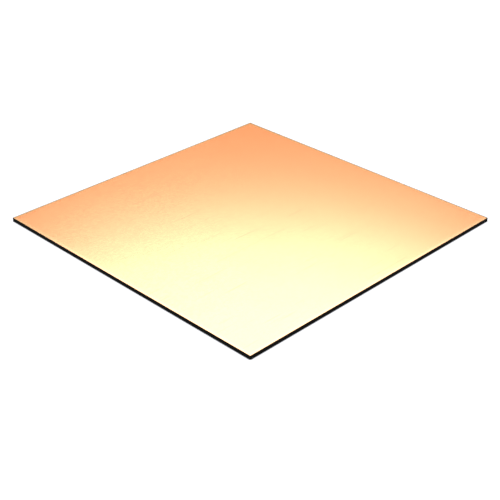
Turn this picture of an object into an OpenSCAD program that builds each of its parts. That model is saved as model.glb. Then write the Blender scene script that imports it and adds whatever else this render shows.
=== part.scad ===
// Copper clad board: a square sheet of laminate with copper foil bonded all over its upper face.
// Millimetres, +Z up. The origin is at the centre of the underside, on the surface that the
// board lies on, and X is the direction in which the foil was made, along its fine lines.

/* [Board] */
// Length of the board along X
board_length = 150; // [40:1:600]
// Width of the board along Y
board_width = 150; // [40:1:600]
// Thickness of the laminate, without its foil
laminate_thickness = 1.6; // [0.8, 1.0, 1.2, 1.6, 2.0, 2.4, 3.2]

/* [Copper foil] */
// Thickness of the foil: half an ounce, one, two or three ounces to the square foot
foil_thickness = 0.035; // [0.018, 0.035, 0.07, 0.105]

/* [Cut edges] */
// Radius of the four corners in plan, square-cut and only eased
corner_radius = 0.2; // [0.15:0.05:3]
// Height and width of the 45 degree bevel that deburring leaves round both faces
edge_break = 0.05; // [0.02:0.01:0.14]

/* [Hidden] */
$fn = 48;

// The foil begins where the laminate ends.
board_thickness = laminate_thickness + foil_thickness;

// What is left of each side between its two corners
straight_length = board_length - 2 * corner_radius;
straight_width = board_width - 2 * corner_radius;

// Section through an edge, from a corner's centre outwards: X is outwards and Y is up.
module edge_section() {
    polygon([
        [0, 0],
        [corner_radius - edge_break, 0],
        [corner_radius, edge_break],
        [corner_radius, board_thickness - edge_break],
        [corner_radius - edge_break, board_thickness],
        [0, board_thickness]
    ]);
}

// One straight edge, with its section running along Y for the given length.
module straight_edge(from_centre, run) {
    translate([from_centre, 0, 0])
        rotate([90, 0, 0])
            linear_extrude(height = run, center = true)
                edge_section();
}

// All four straight edges.
module straight_edges() {
    for (turn = [0, 180])
        rotate([0, 0, turn])
            straight_edge(straight_length / 2, straight_width);
    for (turn = [90, 270])
        rotate([0, 0, turn])
            straight_edge(straight_width / 2, straight_length);
}

// The four corners: the same section turned through a quarter circle.
module corners() {
    for (x_side = [-1, 1], y_side = [-1, 1])
        translate([x_side * straight_length / 2, y_side * straight_width / 2, 0])
            rotate([0, 0, atan2(y_side, x_side) - 45])
                rotate_extrude(angle = 90)
                    edge_section();
}

// The whole board as it is cut from its panel and deburred, laminate and foil together.
module board_blank() {
    translate([-straight_length / 2, -straight_width / 2, 0])
        cube([straight_length, straight_width, board_thickness]);
    straight_edges();
    corners();
}

// The part of the blank that lies between two heights.
module layer(bottom, top) {
    intersection() {
        board_blank();
        translate([-board_length / 2, -board_width / 2, bottom])
            cube([board_length, board_width, top - bottom]);
    }
}

module laminate() {
    color("#17170F")
        layer(0, laminate_thickness);
}

module copper_foil() {
    color("#F9A870")
        layer(laminate_thickness, board_thickness);
}

laminate();
copper_foil();
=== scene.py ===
# %% [markdown]
# # A copper clad board
#
# A copper clad board is the raw stock of circuit boards: glass cloth pressed in epoxy resin,
# with copper foil bonded over one face. This lesson takes the CAD model of one, 150 mm square
# with 1.6 mm of laminate, and gives it its surfaces, its finishes and its light.
# Everything is in metres and in the frame of the CAD model. The board lies on z = 0 with its
# centre over the origin, and the fine lines in its foil run along X.

import math

import bpy
import numpy as np
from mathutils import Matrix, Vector


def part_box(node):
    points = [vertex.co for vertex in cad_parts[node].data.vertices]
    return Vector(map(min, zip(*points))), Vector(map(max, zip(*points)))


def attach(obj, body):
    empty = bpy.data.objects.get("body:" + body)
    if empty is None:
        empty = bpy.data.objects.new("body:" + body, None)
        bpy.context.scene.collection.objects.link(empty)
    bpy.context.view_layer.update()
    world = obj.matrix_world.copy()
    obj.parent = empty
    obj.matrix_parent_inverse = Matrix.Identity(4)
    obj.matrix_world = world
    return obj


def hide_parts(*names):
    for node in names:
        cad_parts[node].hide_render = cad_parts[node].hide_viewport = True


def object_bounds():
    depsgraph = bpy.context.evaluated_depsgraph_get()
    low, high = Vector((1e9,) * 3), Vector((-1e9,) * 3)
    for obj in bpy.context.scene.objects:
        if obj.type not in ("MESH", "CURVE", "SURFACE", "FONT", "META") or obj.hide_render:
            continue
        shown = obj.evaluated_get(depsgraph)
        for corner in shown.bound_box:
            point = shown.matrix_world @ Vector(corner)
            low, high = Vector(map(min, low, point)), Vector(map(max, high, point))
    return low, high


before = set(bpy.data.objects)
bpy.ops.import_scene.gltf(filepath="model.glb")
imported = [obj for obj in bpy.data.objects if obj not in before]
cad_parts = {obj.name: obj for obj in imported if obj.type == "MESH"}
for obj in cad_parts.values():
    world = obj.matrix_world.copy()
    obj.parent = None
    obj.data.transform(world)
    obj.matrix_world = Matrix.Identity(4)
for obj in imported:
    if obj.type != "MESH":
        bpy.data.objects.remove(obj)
cad_low, cad_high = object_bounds()
print("CAD box, metres:", list(cad_low), list(cad_high))

# %% [markdown]
# ## The camera
#
# The camera comes first, because it decides what every later piece has to show. A picture of
# a square tells where it was taken from: the four corners fix the direction, the distance and
# the lens. Here they fit an 80 mm lens on a 36 mm sensor, looking 30 degrees down along the
# diagonal, with the corner at -X, -Y nearest. The numbers come from that fit, and they are
# written as distances from the board, which a reader can picture and check.

# %% Camera
MM = 0.001
VIEW_AZIMUTH = math.radians(-45)
CAMERA_PITCH = math.radians(29.99)
CAMERA_BACK = 436.7 * MM
CAMERA_RISE = 235.4 * MM
CAMERA_LEFT = 0.1 * MM
LENS_MM = 80
SENSOR_MM = 36

BOARD_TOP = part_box("copper_foil")[1].z
view_back = Vector((math.sin(VIEW_AZIMUTH), -math.cos(VIEW_AZIMUTH), 0))
view_left = Vector((-math.cos(VIEW_AZIMUTH), -math.sin(VIEW_AZIMUTH), 0))

camera_data = bpy.data.cameras.new("camera")
camera_data.lens = LENS_MM
camera_data.sensor_width = SENSOR_MM
camera = bpy.data.objects.new("camera", camera_data)
camera.location = view_back * CAMERA_BACK + view_left * CAMERA_LEFT
camera.location.z = BOARD_TOP + CAMERA_RISE
camera.rotation_euler = (math.pi / 2 - CAMERA_PITCH, 0, VIEW_AZIMUTH)
bpy.context.scene.collection.objects.link(camera)
bpy.context.scene.camera = camera
print("camera stands at", [round(c, 4) for c in camera.location])

# %% [markdown]
# ## A section carried round the board
#
# Both layers of the board are a thin slab with a section at its edge, so one function can
# make them. A rounded square is walked once round, and the section, a list of insets and
# heights, is carried along that path. The corners sharpen as the section goes inwards, by
# radius = corner radius squared / (corner radius + inset), so the section never folds over
# itself. Cubes with bevels would be quicker, but couldn't carry the relief of a cut wall.

# %% The path round the board
HALF_LENGTH = cad_high.x
HALF_WIDTH = cad_high.y
CORNER_RADIUS = 0.2 * MM
CORNER_STEPS = 8


def walk_round(steps):
    """One trip round a rounded rectangle, anticlockwise from the +X side.

    Every point is a corner centre or lies between two of them, plus an outward normal. Along
    a side the first moves and the normal stays; round a corner it is the other way about.
    Returns the corner side of each point as two signed shares of the half length and width,
    and the normals.
    """
    along = np.linspace(-1, 1, steps + 1)
    turn = np.radians(np.linspace(0, 90, CORNER_STEPS + 1))[1:-1]
    shares = np.concatenate([
        np.stack([np.ones(steps + 1), along], axis=1),
        np.ones((len(turn), 2)),
    ])
    normals = np.concatenate([
        np.tile([1.0, 0.0], (steps + 1, 1)),
        np.stack([np.cos(turn), np.sin(turn)], axis=1),
    ])
    quarter_turn = np.array([[0, 1], [-1, 0]])
    turns = [np.linalg.matrix_power(quarter_turn, side) for side in range(4)]
    return (
        np.concatenate([shares @ turn for turn in turns]),
        np.concatenate([normals @ turn for turn in turns]),
    )


def carry_section(shares, normals, insets, heights):
    """Points of a section carried round the path, as an array of (path, section, xyz).

    Point = share x (half size - inset - radius) + radius x normal, with the radius of the
    corner shrinking inwards as corner radius squared / (corner radius + inset).
    """
    insets = np.broadcast_to(insets, (len(shares), np.shape(insets)[-1]))[..., None]
    radius = CORNER_RADIUS ** 2 / (CORNER_RADIUS + insets)
    reach = np.array([HALF_LENGTH, HALF_WIDTH]) - insets - radius
    plan = shares[:, None] * reach + radius * normals[:, None]
    heights = np.broadcast_to(heights, plan.shape[:2])[..., None]
    return np.concatenate([plan, heights], axis=2)


# %% [markdown]
# ## Closing the slab
#
# The section leaves a square hole in the top and another in the underside. Filling each with
# one huge face would leave slivers, so a coarse square grid closes it, and a strip of
# triangles joins the grid to the section's last ring. The ring has several points for each
# point of the grid, so each of its points is given the grid point beside it.

# %% Grid and strip
GRID_CELLS = 60
GRID_INSET = 3 * MM


def grid_points(height):
    """A level grid of (cells + 1) squared points, GRID_INSET inside the board's outline."""
    x = np.linspace(-1, 1, GRID_CELLS + 1) * (HALF_LENGTH - GRID_INSET)
    y = np.linspace(-1, 1, GRID_CELLS + 1) * (HALF_WIDTH - GRID_INSET)
    grid_x, grid_y = np.meshgrid(x, y, indexing="ij")
    return np.stack([grid_x.ravel(), grid_y.ravel(), np.full(grid_x.size, height)], axis=1)


def grid_faces(start):
    """Squares of that grid, seen anticlockwise from above, and its rim as one closed loop."""
    index = start + np.arange((GRID_CELLS + 1) ** 2).reshape(GRID_CELLS + 1, -1)
    corners = [index[:-1, :-1], index[1:, :-1], index[1:, 1:], index[:-1, 1:]]
    squares = np.stack([c.ravel() for c in corners], axis=1)
    rim = np.concatenate([index[-1, :-1], index[:0:-1, -1], index[0, :0:-1], index[:-1, 0]])
    return squares, rim


def join_ring_to_rim(ring, rim):
    """Triangles between a fine ring and a coarse rim that both run anticlockwise.

    Ring point i stands beside rim point round(i x rim / ring). Each step of the ring makes a
    triangle with that point, and each step of the rim makes one with the ring point there.
    """
    side = len(ring) // 4
    place = np.minimum(np.arange(side), side - CORNER_STEPS) / (side - CORNER_STEPS)
    beside = np.rint(place * GRID_CELLS).astype(int)
    beside = np.concatenate([beside + quarter * GRID_CELLS for quarter in range(4)])
    after = np.roll(beside, -1)
    after[-1] = len(rim)
    near = rim[beside % len(rim)]
    far = rim[after % len(rim)]
    ring_triangles = np.stack([ring, np.roll(ring, -1), near], axis=1)
    moved = beside != after
    rim_triangles = np.stack([np.roll(ring, -1), far, near], axis=1)[moved]
    return np.concatenate([ring_triangles, rim_triangles])


# %% [markdown]
# ## From arrays to a piece
#
# A slab is then its rings, a grid below and a grid above, each joined to the nearest ring.
# The faces below are turned over so that they point down. Edges sharper than 20 degrees stay
# crisp and all others are shaded smooth, which keeps the bevels clean and the relief soft.

# %% Slab
SHARP_ANGLE = math.radians(20)


def make_slab(name, steps, section):
    """A closed slab with the given section, which is a function of the path's shares.

    Faces run along the path and up the section, so they point outwards. Returns the object.
    """
    shares, normals = walk_round(steps)
    insets, heights = section(shares)
    rings = carry_section(shares, normals, insets, heights)
    path_count, section_count = rings.shape[:2]
    index = np.arange(path_count * section_count).reshape(path_count, section_count)
    ahead = np.roll(index, -1, axis=0)
    corners = [index[:, :-1], ahead[:, :-1], ahead[:, 1:], index[:, 1:]]
    wall = np.stack([c.ravel() for c in corners], axis=1)

    low_squares, low_rim = grid_faces(index.size)
    high_squares, high_rim = grid_faces(index.size + (GRID_CELLS + 1) ** 2)
    faces = [
        *wall.tolist(),
        *low_squares[:, ::-1].tolist(),
        *join_ring_to_rim(index[:, 0], low_rim)[:, ::-1].tolist(),
        *high_squares.tolist(),
        *join_ring_to_rim(index[:, -1], high_rim).tolist(),
    ]
    points = np.concatenate([
        rings.reshape(-1, 3),
        grid_points(rings[0, 0, 2]),
        grid_points(rings[0, -1, 2]),
    ])
    mesh = bpy.data.meshes.new(name)
    mesh.from_pydata(points, [], faces)
    inset = np.min(np.array([HALF_LENGTH, HALF_WIDTH]) - np.abs(points[:, :2]), axis=1) / MM
    mesh.attributes.new("inset_mm", "FLOAT", "POINT").data.foreach_set("value", inset)
    mesh.shade_smooth()
    mesh.set_sharp_from_angle(angle=SHARP_ANGLE)
    piece = bpy.data.objects.new(name, mesh)
    bpy.context.scene.collection.objects.link(piece)
    triangles = sum(len(face) - 2 for face in faces)
    print(f"{name}: {len(points)} points, {triangles} triangles")
    return piece


# %% [markdown]
# ## The laminate
#
# The laminate is the stiff core: eight layers of glass cloth in black epoxy. Its wall was
# sawn and then deburred, so it has upright tool marks, faint ridges where the harder cloth
# stands between the layers of resin, and a narrow bevel at each face. Together they are two
# hundredths of a millimetre deep, and they go in as real relief rather than as a bump, so that
# the mesh has them too. Relief only goes inwards, so the board keeps the size of its CAD model.

# %% Laminate
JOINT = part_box("laminate")[1].z
EDGE_BREAK = 0.05 * MM
PLY_COUNT = 8
PLY_DEPTH = 0.006 * MM
MARK_DEPTH = 0.012 * MM
GRAIN_DEPTH = 0.003 * MM
FADE_SHARE = 0.06
WALL_ROWS = 22
LAMINATE_STEPS = 420
rng = np.random.default_rng(16)


def wall_relief(shares, heights):
    """Depth of the cut wall's relief, for every point of the path and every height.

    Ply ridges are a cosine up the wall. Tool marks are five sines along the path, leaning a
    little, whose waves are whole numbers to the trip so that they meet at its end. Grain is
    random. The sum fades to nothing in the last FADE_SHARE of the wall before each bevel.
    """
    along = np.linspace(0, 2 * np.pi, len(shares), endpoint=False)[:, None]
    up = heights[None, :] / JOINT
    plies = 0.5 - 0.5 * np.cos(2 * np.pi * PLY_COUNT * up)
    waves = np.array([190, 271, 334, 412, 495])
    phases = rng.uniform(0, 2 * np.pi, len(waves))
    leans = rng.uniform(-1.5, 1.5, len(waves))
    marks = sum(
        np.sin(wave * along + phase + lean * up)
        for wave, phase, lean in zip(waves, phases, leans)
    ) / len(waves)
    grain = rng.uniform(0, 1, (len(shares), len(heights)))
    fade = np.clip(np.minimum(up - up.min(), up.max() - up) / FADE_SHARE, 0, 1)
    return fade * (PLY_DEPTH * plies + MARK_DEPTH * (0.5 + 0.5 * marks) + GRAIN_DEPTH * grain)


def laminate_section(shares):
    """Insets and heights from the underside's bevel, up the wall, to the joint with the foil."""
    wall_top = BOARD_TOP - EDGE_BREAK
    wall_heights = np.linspace(EDGE_BREAK, wall_top, WALL_ROWS)
    wall_insets = wall_relief(shares, wall_heights)
    ends = np.ones((len(shares), 1))
    insets = np.concatenate([ends * EDGE_BREAK, wall_insets, ends * (JOINT - wall_top)], axis=1)
    return insets, np.concatenate([[0], wall_heights, [JOINT]])


laminate = make_slab("laminate_core", LAMINATE_STEPS, laminate_section)
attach(laminate, "root")
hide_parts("laminate")

# %% [markdown]
# ## The copper foil
#
# The foil is 35 thousandths of a millimetre of copper that covers the whole upper face. The
# saw and the deburring tool drag the soft metal down at the edge, so its last two millimetres
# roll over gently before the bevel. That roll-over is what catches the light as a fine pale
# line along the near edges, so it is real geometry: two exponentials, a wide shallow one for
# the roll and a narrow steep one for the bevel that the deburring cut.

# %% Copper foil
FOIL_INSET = EDGE_BREAK - (BOARD_TOP - JOINT)
ROLL_WIDTH = 0.9 * MM
BEVEL_WIDTH = 0.02 * MM
ROLL_SHARE = 0.85
FOIL_STEPS = 60


def foil_section(shares):
    """Insets and heights from the joint inwards over the rim.

    Height = top - foil x (share x e^(-t / roll width) + (1 - share) x e^(-t / bevel width)),
    where t is the distance in from the joint's outline.
    """
    t = np.array([0, 0.006, 0.014, 0.025, 0.04, 0.07, 0.12, 0.2, 0.35, 0.6, 1.0, 1.6, 2.6]) * MM
    fallen = ROLL_SHARE * np.exp(-t / ROLL_WIDTH) + (1 - ROLL_SHARE) * np.exp(-t / BEVEL_WIDTH)
    fallen[-1] = 0
    return FOIL_INSET + t, BOARD_TOP - (BOARD_TOP - JOINT) * fallen


foil = make_slab("copper_sheet", FOIL_STEPS, foil_section)
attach(foil, "root")
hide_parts("copper_foil")

# %% [markdown]
# ## Colours and nodes
#
# Colours are written as they look on a screen, in sRGB hex, and Blender mixes light in linear
# values, so one function turns the first into the second. Another adds a node to a material,
# sets what it is told and joins its inputs, so each material below reads from top to bottom.
# Math and Mix nodes have inputs that share a name, so theirs go by number: a Mix of colours
# has its factor at 0 and its two colours at 6 and 7, and gives its result at 2.

# %% Colour and node helpers


def linear(hex_colour):
    """An sRGB hex colour as linear red, green, blue and alpha."""
    srgb = np.array([int(hex_colour[i:i + 2], 16) for i in (1, 3, 5)]) / 255
    values = np.where(srgb <= 0.04045, srgb / 12.92, ((srgb + 0.055) / 1.055) ** 2.4)
    return (*values.tolist(), 1.0)


def add_node(material, kind, inputs=None, **settings):
    """Adds one node. An input is given by name or number: an output joins it, a value sets it."""
    tree = material.node_tree
    node = tree.nodes.new("ShaderNode" + kind)
    for name, value in settings.items():
        setattr(node, name, value)
    for name, value in (inputs or {}).items():
        if isinstance(value, bpy.types.NodeSocket):
            tree.links.new(value, node.inputs[name])
        else:
            node.inputs[name].default_value = value
    return node


def new_material(name):
    """An empty node material."""
    material = bpy.data.materials.new(name)
    material.use_nodes = True
    material.node_tree.nodes.clear()
    return material


# %% [markdown]
# ## Bright rolled copper foil: patterns
#
# Foil for boards leaves the mill bright, with fine lines along the direction that it was made
# in. To the eye that is a warm orange metal whose reflections are soft and a little uneven from
# line to line, with a fine grain, a few darker hairs, a faint mottle, a rim that handling has
# left less red, and a dark smear where the saw cut it. Each of these is a pattern from 0 to 1:
# a noise texture, stretched along X where it follows the lines, or the distance from the
# board's outline.
#
# The mill's lines are about 0.05 mm apart, too fine to show in the render, so they are drawn
# 0.7 mm apart.

# %% Copper: patterns
# Length along X, spacing across it, detail and seed of each noise
NOISES = {
    "lines": (7 * MM, 0.7 * MM, 2.0, 2.0),
    "scratches": (30 * MM, 0.9 * MM, 1.0, 11.0),
    "grain": (1.4 * MM, 1.0 * MM, 1.0, 5.0),
    "tarnish": (45 * MM, 45 * MM, 2.0, 8.0),
    "slow": (40 * MM, 40 * MM, 0.0, 3.0),
}

copper = new_material("bright_copper_foil")
place = add_node(copper, "TexCoord").outputs["Object"]
patterns = {"inset": add_node(copper, "Attribute", attribute_name="inset_mm").outputs["Fac"]}
for name, (length, spacing, detail, seed) in NOISES.items():
    stretched = add_node(copper, "Mapping", {
        "Vector": place,
        "Location": (seed, seed, seed),
        "Scale": (1 / length, 1 / spacing, 1 / spacing),
    })
    settings = {"Vector": stretched.outputs["Vector"], "Scale": 1.0, "Detail": detail}
    patterns[name] = add_node(copper, "TexNoise", settings).outputs["Fac"]

# %% [markdown]
# Hands and cloths have rubbed the half towards one corner, at -X and +Y, and there the grain
# shows more. How far a point lies that way is Y - X, and a slow noise makes the border wavy.
# The other masks pick the peaks of the scratches, which become hairs, and strips at the edge.

# %% Copper: masks
RUBBED_WAVE = 60 * MM

across = add_node(copper, "SeparateXYZ", {"Vector": place}).outputs
towards = {0: across["Y"], 1: across["X"]}
towards = add_node(copper, "Math", towards, operation="SUBTRACT").outputs[0]
wavy = {0: patterns["slow"], 1: RUBBED_WAVE, 2: towards}
patterns["towards"] = add_node(copper, "Math", wavy, operation="MULTIPLY_ADD").outputs[0]

# What each mask is made from, where it is 0 and where it is 1; insets in millimetres
MASKS = {
    "rubbed": ("towards", 20 * MM, 80 * MM),
    "hairs": ("scratches", 0.67, 0.77),
    "rim": ("inset", 1.9, 0.8),
    "cut": ("inset", 0.3, 0.2),
}
for name, (source, none, full) in MASKS.items():
    settings = {"Value": patterns[source], "From Min": none, "From Max": full}
    patterns[name] = add_node(copper, "MapRange", settings).outputs["Result"]
grain = {0: patterns["grain"], 1: patterns["rubbed"]}
patterns["rubbed grain"] = add_node(copper, "Math", grain, operation="MULTIPLY").outputs[0]
print("copper patterns:", ", ".join(patterns))

# %% [markdown]
# ## Bright rolled copper foil: sums of the patterns
#
# Each property of the surface is a start value plus a share of some patterns. Dullness is used
# from 0 to 1. Roughness rises a little with the lines, the tarnish and the hairs, and most on
# the smear at the cut. The bump adds lines and grain and cuts the hairs in, a few thousandths
# of a millimetre deep, and it is strongest where the face has been rubbed.

# %% Copper: sums
ROUGHNESS = 0.2
LINE_HEIGHT = 0.004 * MM

SUMS = {
    "dullness": (-0.5, {"tarnish": 1.0, "grain": 1.0, "rubbed grain": 2.0, "rubbed": -1.0}),
    "roughness": (ROUGHNESS - 0.03, {"lines": 0.03, "tarnish": 0.03, "hairs": 0.03, "cut": 0.3}),
    "height": (0.0, {"lines": 1.0, "grain": 0.9, "hairs": -0.5}),
    "strength": (0.35, {"rubbed": 0.45}),
}
for name, (total, weights) in SUMS.items():
    for pattern, weight in weights.items():
        terms = {0: patterns[pattern], 1: weight, 2: total}
        total = add_node(copper, "Math", terms, operation="MULTIPLY_ADD").outputs[0]
    patterns[name] = total

# %% [markdown]
# ## Bright rolled copper foil: shader
#
# Copper is a full metal, so it has no diffuse colour of its own: its hex value is what it makes
# of white. The colour starts bright, and is mixed with the dull, hair, rim and cut colours in
# turn, each by its own pattern. A real metal keeps its colour at a slant, where the shader's
# simple curve would turn it white, so the edge tint in Specular Tint holds that back.

# %% Copper: shader
COPPER_BRIGHT = "#EA9965"
COPPER_EDGE_TINT = "#FBDBBF"
COPPER_CHANGES = {
    "dullness": "#E69260",
    "hairs": "#D98C5C",
    "rim": "#CC9D69",
    "cut": "#2E241C",
}

colour = linear(COPPER_BRIGHT)
for name, changed in COPPER_CHANGES.items():
    inputs = {0: patterns[name], 6: colour, 7: linear(changed)}
    colour = add_node(copper, "Mix", inputs, data_type="RGBA").outputs[2]
bump = add_node(copper, "Bump", {
    "Height": patterns["height"],
    "Distance": LINE_HEIGHT,
    "Strength": patterns["strength"],
})
surface = add_node(copper, "BsdfPrincipled", {
    "Base Color": colour,
    "Metallic": 1.0,
    "Roughness": patterns["roughness"],
    "Specular Tint": linear(COPPER_EDGE_TINT),
    "Normal": bump.outputs["Normal"],
})
add_node(copper, "OutputMaterial", {"Surface": surface.outputs["BSDF"]})
foil.data.materials.append(copper)
print("copper nodes:", len(copper.node_tree.nodes))

# %% [markdown]
# ## Black glass-epoxy, sawn edge
#
# The saw cuts through eight layers of glass cloth. Close to, the wall is near black, matt and
# a little olive, with the cut ends of the yarns as small greyer lens shapes in rows, one row
# to a layer, and paler dust along the two deburred corners. The fibres and pits trap light,
# so the shine is far weaker than on moulded resin. The yarns are 0.6 mm apart and the layers
# 0.2 mm, and a cell texture stretched to that gives the rows.

# %% Sawn edge material
YARN_SPACING = 0.6 * MM
PLY_HEIGHT = JOINT / PLY_COUNT
DUST_SIZE = 0.3 * MM
DUST_REACH = 0.12 * MM
SAWN_HEIGHT = 0.01 * MM

sawn = new_material("sawn_glass_epoxy")
place = add_node(sawn, "TexCoord").outputs["Object"]
cell_scale = (1 / YARN_SPACING, 1 / YARN_SPACING, 1 / PLY_HEIGHT)
stretched = add_node(sawn, "Mapping", {"Vector": place, "Scale": cell_scale}).outputs["Vector"]
yarn = add_node(sawn, "TexVoronoi", {"Vector": stretched, "Scale": 1.0, "Randomness": 0.35})
yarn_end = add_node(sawn, "MapRange", {
    "Value": yarn.outputs["Distance"], "From Min": 0.5, "From Max": 0.25,
}).outputs["Result"]
dust = add_node(sawn, "TexNoise", {"Vector": place, "Scale": 1 / DUST_SIZE, "Detail": 3.0})
dust = dust.outputs["Fac"]

# %% [markdown]
# Dust lies along the corners, so it needs the distance from the nearer face: the smaller of
# the height and what is left above it. The noise breaks the line up.

# %% Sawn edge: dust and shader
up = add_node(sawn, "SeparateXYZ", {"Vector": place}).outputs["Z"]
down = add_node(sawn, "Math", {0: JOINT, 1: up}, operation="SUBTRACT").outputs[0]
nearer = add_node(sawn, "Math", {0: up, 1: down}, operation="MINIMUM").outputs[0]
corner = add_node(sawn, "MapRange", {
    "Value": nearer, "From Min": DUST_REACH, "From Max": 0.0,
}).outputs["Result"]
dusty = add_node(sawn, "Math", {0: corner, 1: dust}, operation="MULTIPLY").outputs[0]
colour = linear("#0C0B07")
for share, changed in ((yarn_end, "#161610"), (dusty, "#282820")):
    inputs = {0: share, 6: colour, 7: linear(changed)}
    colour = add_node(sawn, "Mix", inputs, data_type="RGBA").outputs[2]
roughness = add_node(sawn, "MapRange", {"Value": dust, "To Min": 0.6, "To Max": 0.85})
height = add_node(sawn, "Math", {0: yarn_end, 1: 0.4, 2: dust}, operation="MULTIPLY_ADD")
bump = add_node(sawn, "Bump", {"Height": height.outputs[0], "Distance": SAWN_HEIGHT})
surface = add_node(sawn, "BsdfPrincipled", {
    "Base Color": colour,
    "Roughness": roughness.outputs["Result"],
    "Specular IOR Level": 0.03,
    "Normal": bump.outputs["Normal"],
})
add_node(sawn, "OutputMaterial", {"Surface": surface.outputs["BSDF"]})

# %% [markdown]
# ## Black glass-epoxy, pressed face
#
# The underside came flat off a steel press plate, so its resin is smooth and satin, and the
# cloth just below it shows through as a faint basket of yarns that pass over and under each
# other. Two sines multiplied give that basket: sin(pi x / warp) times sin(pi y / weft). The
# cloth's yarns are 0.58 and 0.82 mm apart, drawn twice as far apart so that they show.

# %% Pressed face material
WARP_SPACING = 1.16 * MM
WEFT_SPACING = 1.64 * MM
CLOUD_SIZE = 6 * MM
WEAVE_HEIGHT = 0.004 * MM

pressed = new_material("pressed_glass_epoxy")
place = add_node(pressed, "TexCoord").outputs["Object"]
across = add_node(pressed, "SeparateXYZ", {"Vector": place}).outputs
weave = 1.0
for axis, spacing in (("X", WARP_SPACING), ("Y", WEFT_SPACING)):
    angle = add_node(pressed, "Math", {0: across[axis], 1: math.pi / spacing}, operation="MULTIPLY")
    wave = add_node(pressed, "Math", {0: angle.outputs[0]}, operation="SINE").outputs[0]
    weave = add_node(pressed, "Math", {0: weave, 1: wave}, operation="MULTIPLY").outputs[0]
cloud = add_node(pressed, "TexNoise", {"Vector": place, "Scale": 1 / CLOUD_SIZE, "Detail": 4.0})
cloud = cloud.outputs["Fac"]
depth = add_node(pressed, "MapRange", {"Value": weave, "From Min": -1.0}).outputs["Result"]
inputs = {0: depth, 6: linear("#14140D"), 7: linear("#1C1C14")}
colour = add_node(pressed, "Mix", inputs, data_type="RGBA").outputs[2]
roughness = add_node(pressed, "MapRange", {"Value": cloud, "To Min": 0.32, "To Max": 0.46})
height = add_node(pressed, "Math", {0: weave, 1: 0.6, 2: cloud}, operation="MULTIPLY_ADD")
bump = add_node(pressed, "Bump", {"Height": height.outputs[0], "Distance": WEAVE_HEIGHT})
surface = add_node(pressed, "BsdfPrincipled", {
    "Base Color": colour,
    "Roughness": roughness.outputs["Result"],
    "IOR": 1.55,
    "Normal": bump.outputs["Normal"],
})
add_node(pressed, "OutputMaterial", {"Surface": surface.outputs["BSDF"]})

# %% [markdown]
# The laminate is one piece with two finishes. Faces that look up or down are pressed, and the
# wall and its bevels are sawn, so each face takes its material from the tilt of its normal.

# %% Laminate finishes
LEVEL_TILT = 0.99

laminate.data.materials.append(sawn)
laminate.data.materials.append(pressed)
tilt = np.empty(len(laminate.data.polygons) * 3)
laminate.data.polygons.foreach_get("normal", tilt)
level = np.abs(tilt.reshape(-1, 3)[:, 2]) > LEVEL_TILT
laminate.data.polygons.foreach_set("material_index", level.astype(np.int32))
print("pressed faces:", int(level.sum()), "sawn faces:", int((~level).sum()))

# %% [markdown]
# ## Floor and surround
#
# A product picture stands on white with no horizon. More light on the floor would also burn
# out the board, so the floor and the world are white only to the rays that look at them: from
# the camera, off a gloss, or through glass. Light that falls on the board comes from a
# dimmer, grey world and from lamps. The floor keeps a share of its real shading, so the board
# still has a soft shadow under its edge.

# %% Floor
FLOOR_HALF = 10.0
FLOOR_DROP = 0.02 * MM

floor_mesh = bpy.data.meshes.new("floor")
corners = [(-1, -1), (1, -1), (1, 1), (-1, 1)]
floor_points = [(x * FLOOR_HALF, y * FLOOR_HALF, -FLOOR_DROP) for x, y in corners]
floor_mesh.from_pydata(floor_points, [], [(0, 1, 2, 3)])
floor = bpy.data.objects.new("floor", floor_mesh)
bpy.context.scene.collection.objects.link(floor)

# %% [markdown]
# Light Path tells which kind of ray asks. The largest of three of its answers is 1 for a ray
# that looks at the white, and 0 for diffuse light, for the floor and the world alike.
#
# Right under a board's edge is a thin line that little light reaches. The glow would hide it,
# so an Ambient Occlusion node, which tells how open the floor is, turns the glow off there.

# %% White to the rays that look
GLOW_SHARE = 0.8
GLOW = 1.18
CONTACT_REACH = 0.7 * MM
CONTACT_DARK = 0.65
CONTACT_OPEN = 0.85
AMBIENT = 0.5

paper = new_material("white_paper_sweep")
world = bpy.data.worlds.new("white_surround")
world.use_nodes = True
world.node_tree.nodes.clear()
looked_at = {}
for owner in (paper, world):
    rays = add_node(owner, "LightPath").outputs
    shown = rays["Is Camera Ray"]
    for ray in ("Is Glossy Ray", "Is Transmission Ray"):
        shown = add_node(owner, "Math", {0: shown, 1: rays[ray]}, operation="MAXIMUM").outputs[0]
    looked_at[owner.name] = shown

share = {0: looked_at[paper.name], 1: GLOW_SHARE}
share = add_node(paper, "Math", share, operation="MULTIPLY").outputs[0]
matt = add_node(paper, "BsdfDiffuse", {"Color": linear("#E8E8E8")}).outputs[0]
open_air = add_node(paper, "AmbientOcclusion", {"Distance": CONTACT_REACH}, samples=8)
strength = add_node(paper, "MapRange", {
    "Value": open_air.outputs["AO"],
    "From Min": CONTACT_DARK,
    "From Max": CONTACT_OPEN,
    "To Max": GLOW,
}).outputs["Result"]
glow = add_node(paper, "Emission", {"Color": linear("#FFFFFF"), "Strength": strength}).outputs[0]
mixed = add_node(paper, "MixShader", {0: share, 1: matt, 2: glow})
add_node(paper, "OutputMaterial", {"Surface": mixed.outputs[0]})
paper.cycles.emission_sampling = "NONE"
floor_mesh.materials.append(paper)

strength = add_node(world, "MapRange", {"Value": looked_at[world.name], "To Min": AMBIENT})
surround = {"Color": linear("#FFFFFF"), "Strength": strength.outputs["Result"]}
background = add_node(world, "Background", surround)
add_node(world, "OutputWorld", {"Surface": background.outputs[0]})
bpy.context.scene.world = world

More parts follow.
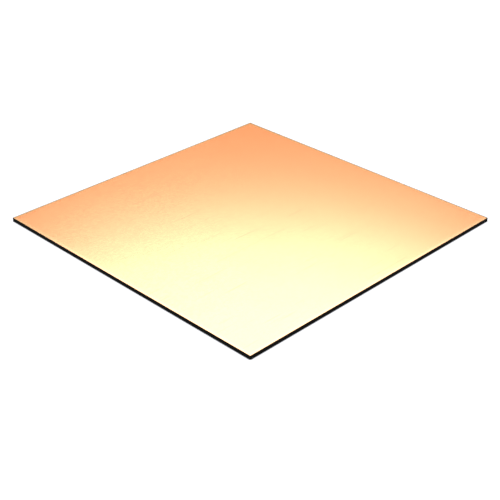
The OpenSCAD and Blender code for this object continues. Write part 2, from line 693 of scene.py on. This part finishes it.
# %% [markdown]
# ## Softboxes
#
# Metal shows little but what it reflects. From this camera the foil mirrors the air beyond
# its far corner, from 23 degrees above the horizon at that corner to 35 degrees at the near
# one. A large oval softbox hangs there, a little cool, as daylight tubes are. The far
# corner sees mostly the white surround and keeps the copper's own colour. Nearer, the foil's
# soft reflection takes in more and more of the box, and the copper climbs through gold to
# cream. The dimmer boxes on the other sides and overhead give the other views such a slope.

# %% Lamps
BOX_DISTANCE = 1.5
DAYLIGHT = "#C9D4FF"


def softbox(name, azimuth, elevation, width, height, brightness):
    """An oval lamp that faces the board, BOX_DISTANCE from it. Azimuth 0 is +Y and 90 is +X.

    A matt lamp of brightness b and area a gives out pi x a x b watts, with the area of the
    oval pi / 4 x width x height. Without its tint, brightness 1 is that of the white surround.
    """
    data = bpy.data.lights.new(name, "AREA")
    data.shape = "ELLIPSE"
    data.size = width
    data.size_y = height
    data.energy = math.pi * (math.pi / 4 * width * height) * brightness
    data.color = linear(DAYLIGHT)[:3]
    turn, rise = math.radians(azimuth), math.radians(elevation)
    towards = Vector((math.sin(turn) * math.cos(rise), math.cos(turn) * math.cos(rise), math.sin(rise)))
    lamp = bpy.data.objects.new(name, data)
    lamp.location = towards * BOX_DISTANCE
    lamp.rotation_mode = "QUATERNION"
    lamp.rotation_quaternion = towards.to_track_quat("Z", "Y")
    bpy.context.scene.collection.objects.link(lamp)
    print(name, "gives", round(data.energy, 2), "watts")


softbox("far_softbox", 46, 42.5, 1.14, 0.727, 5.95)
softbox("left_softbox", -22, 38, 1.4, 0.9, 2.4)
softbox("right_softbox", 112, 38, 1.4, 0.9, 2.4)
softbox("near_softbox", -130, 38, 1.4, 0.9, 2.4)
softbox("top_softbox", 60, 80, 0.7, 0.5, 2.4)

# %% [markdown]
# ## Colour management
#
# The Standard view shows each colour as it was written, where others would grey the copper's
# bright end.

# %% View
bpy.context.scene.view_settings.view_transform = "Standard"
